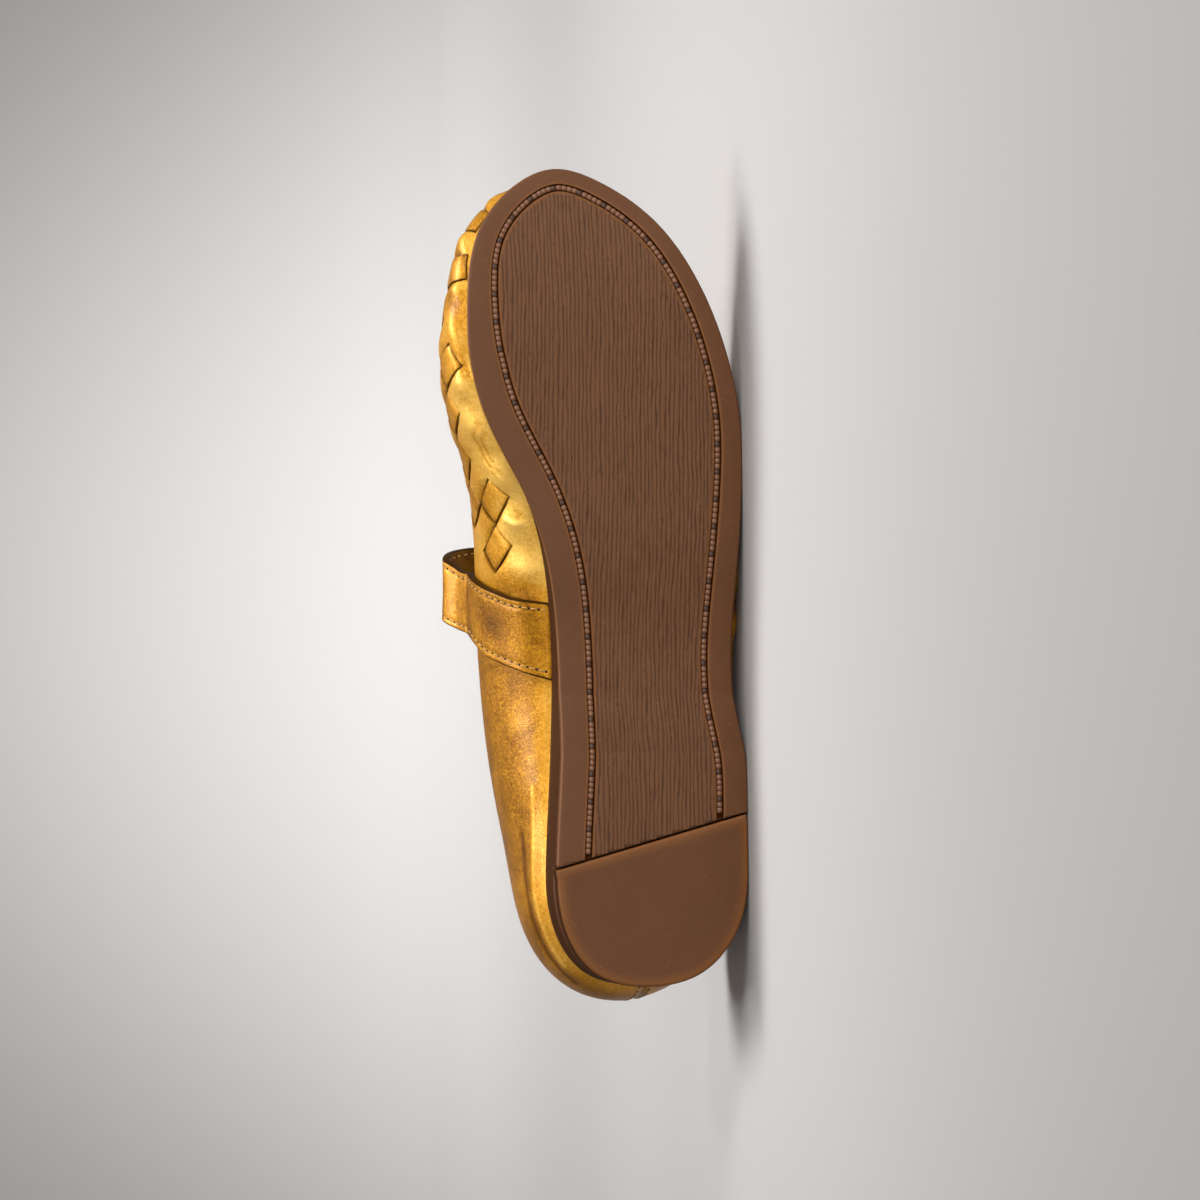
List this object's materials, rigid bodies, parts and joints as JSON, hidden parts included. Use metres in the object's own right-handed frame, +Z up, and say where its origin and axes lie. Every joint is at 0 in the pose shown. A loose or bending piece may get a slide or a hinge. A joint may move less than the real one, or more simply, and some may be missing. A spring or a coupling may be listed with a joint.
{
  "type": "mary jane flat",
  "caption": "Left woman's mary jane flat lying on its side: hollow woven leather upper, open instep strap, insole and moulded rubber sole with a separate heel top piece.",
  "frame": {"origin": "middle of the underside of the box around the lying shoe, on the floor", "axes": "+X from heel to toe, +Y from the tread towards the collar, +Z up; the shoe lies on its outer side"},
  "size_m": [0.2518, 0.1308, 0.0911],
  "materials": {
    "sole_rubber": "moulded, satin",
    "heel_rubber": "moulded, smooth satin",
    "sock_leather": "matt lining leather",
    "upper_leather": "burnished, waxed",
    "strap_leather": "burnished, waxed"
  },
  "bodies": {
    "root": {"outsole": "sole_rubber", "heel_lift": "heel_rubber", "insole": "sock_leather", "upper": "upper_leather", "strap": "strap_leather"}
  },
  "joints": []
}
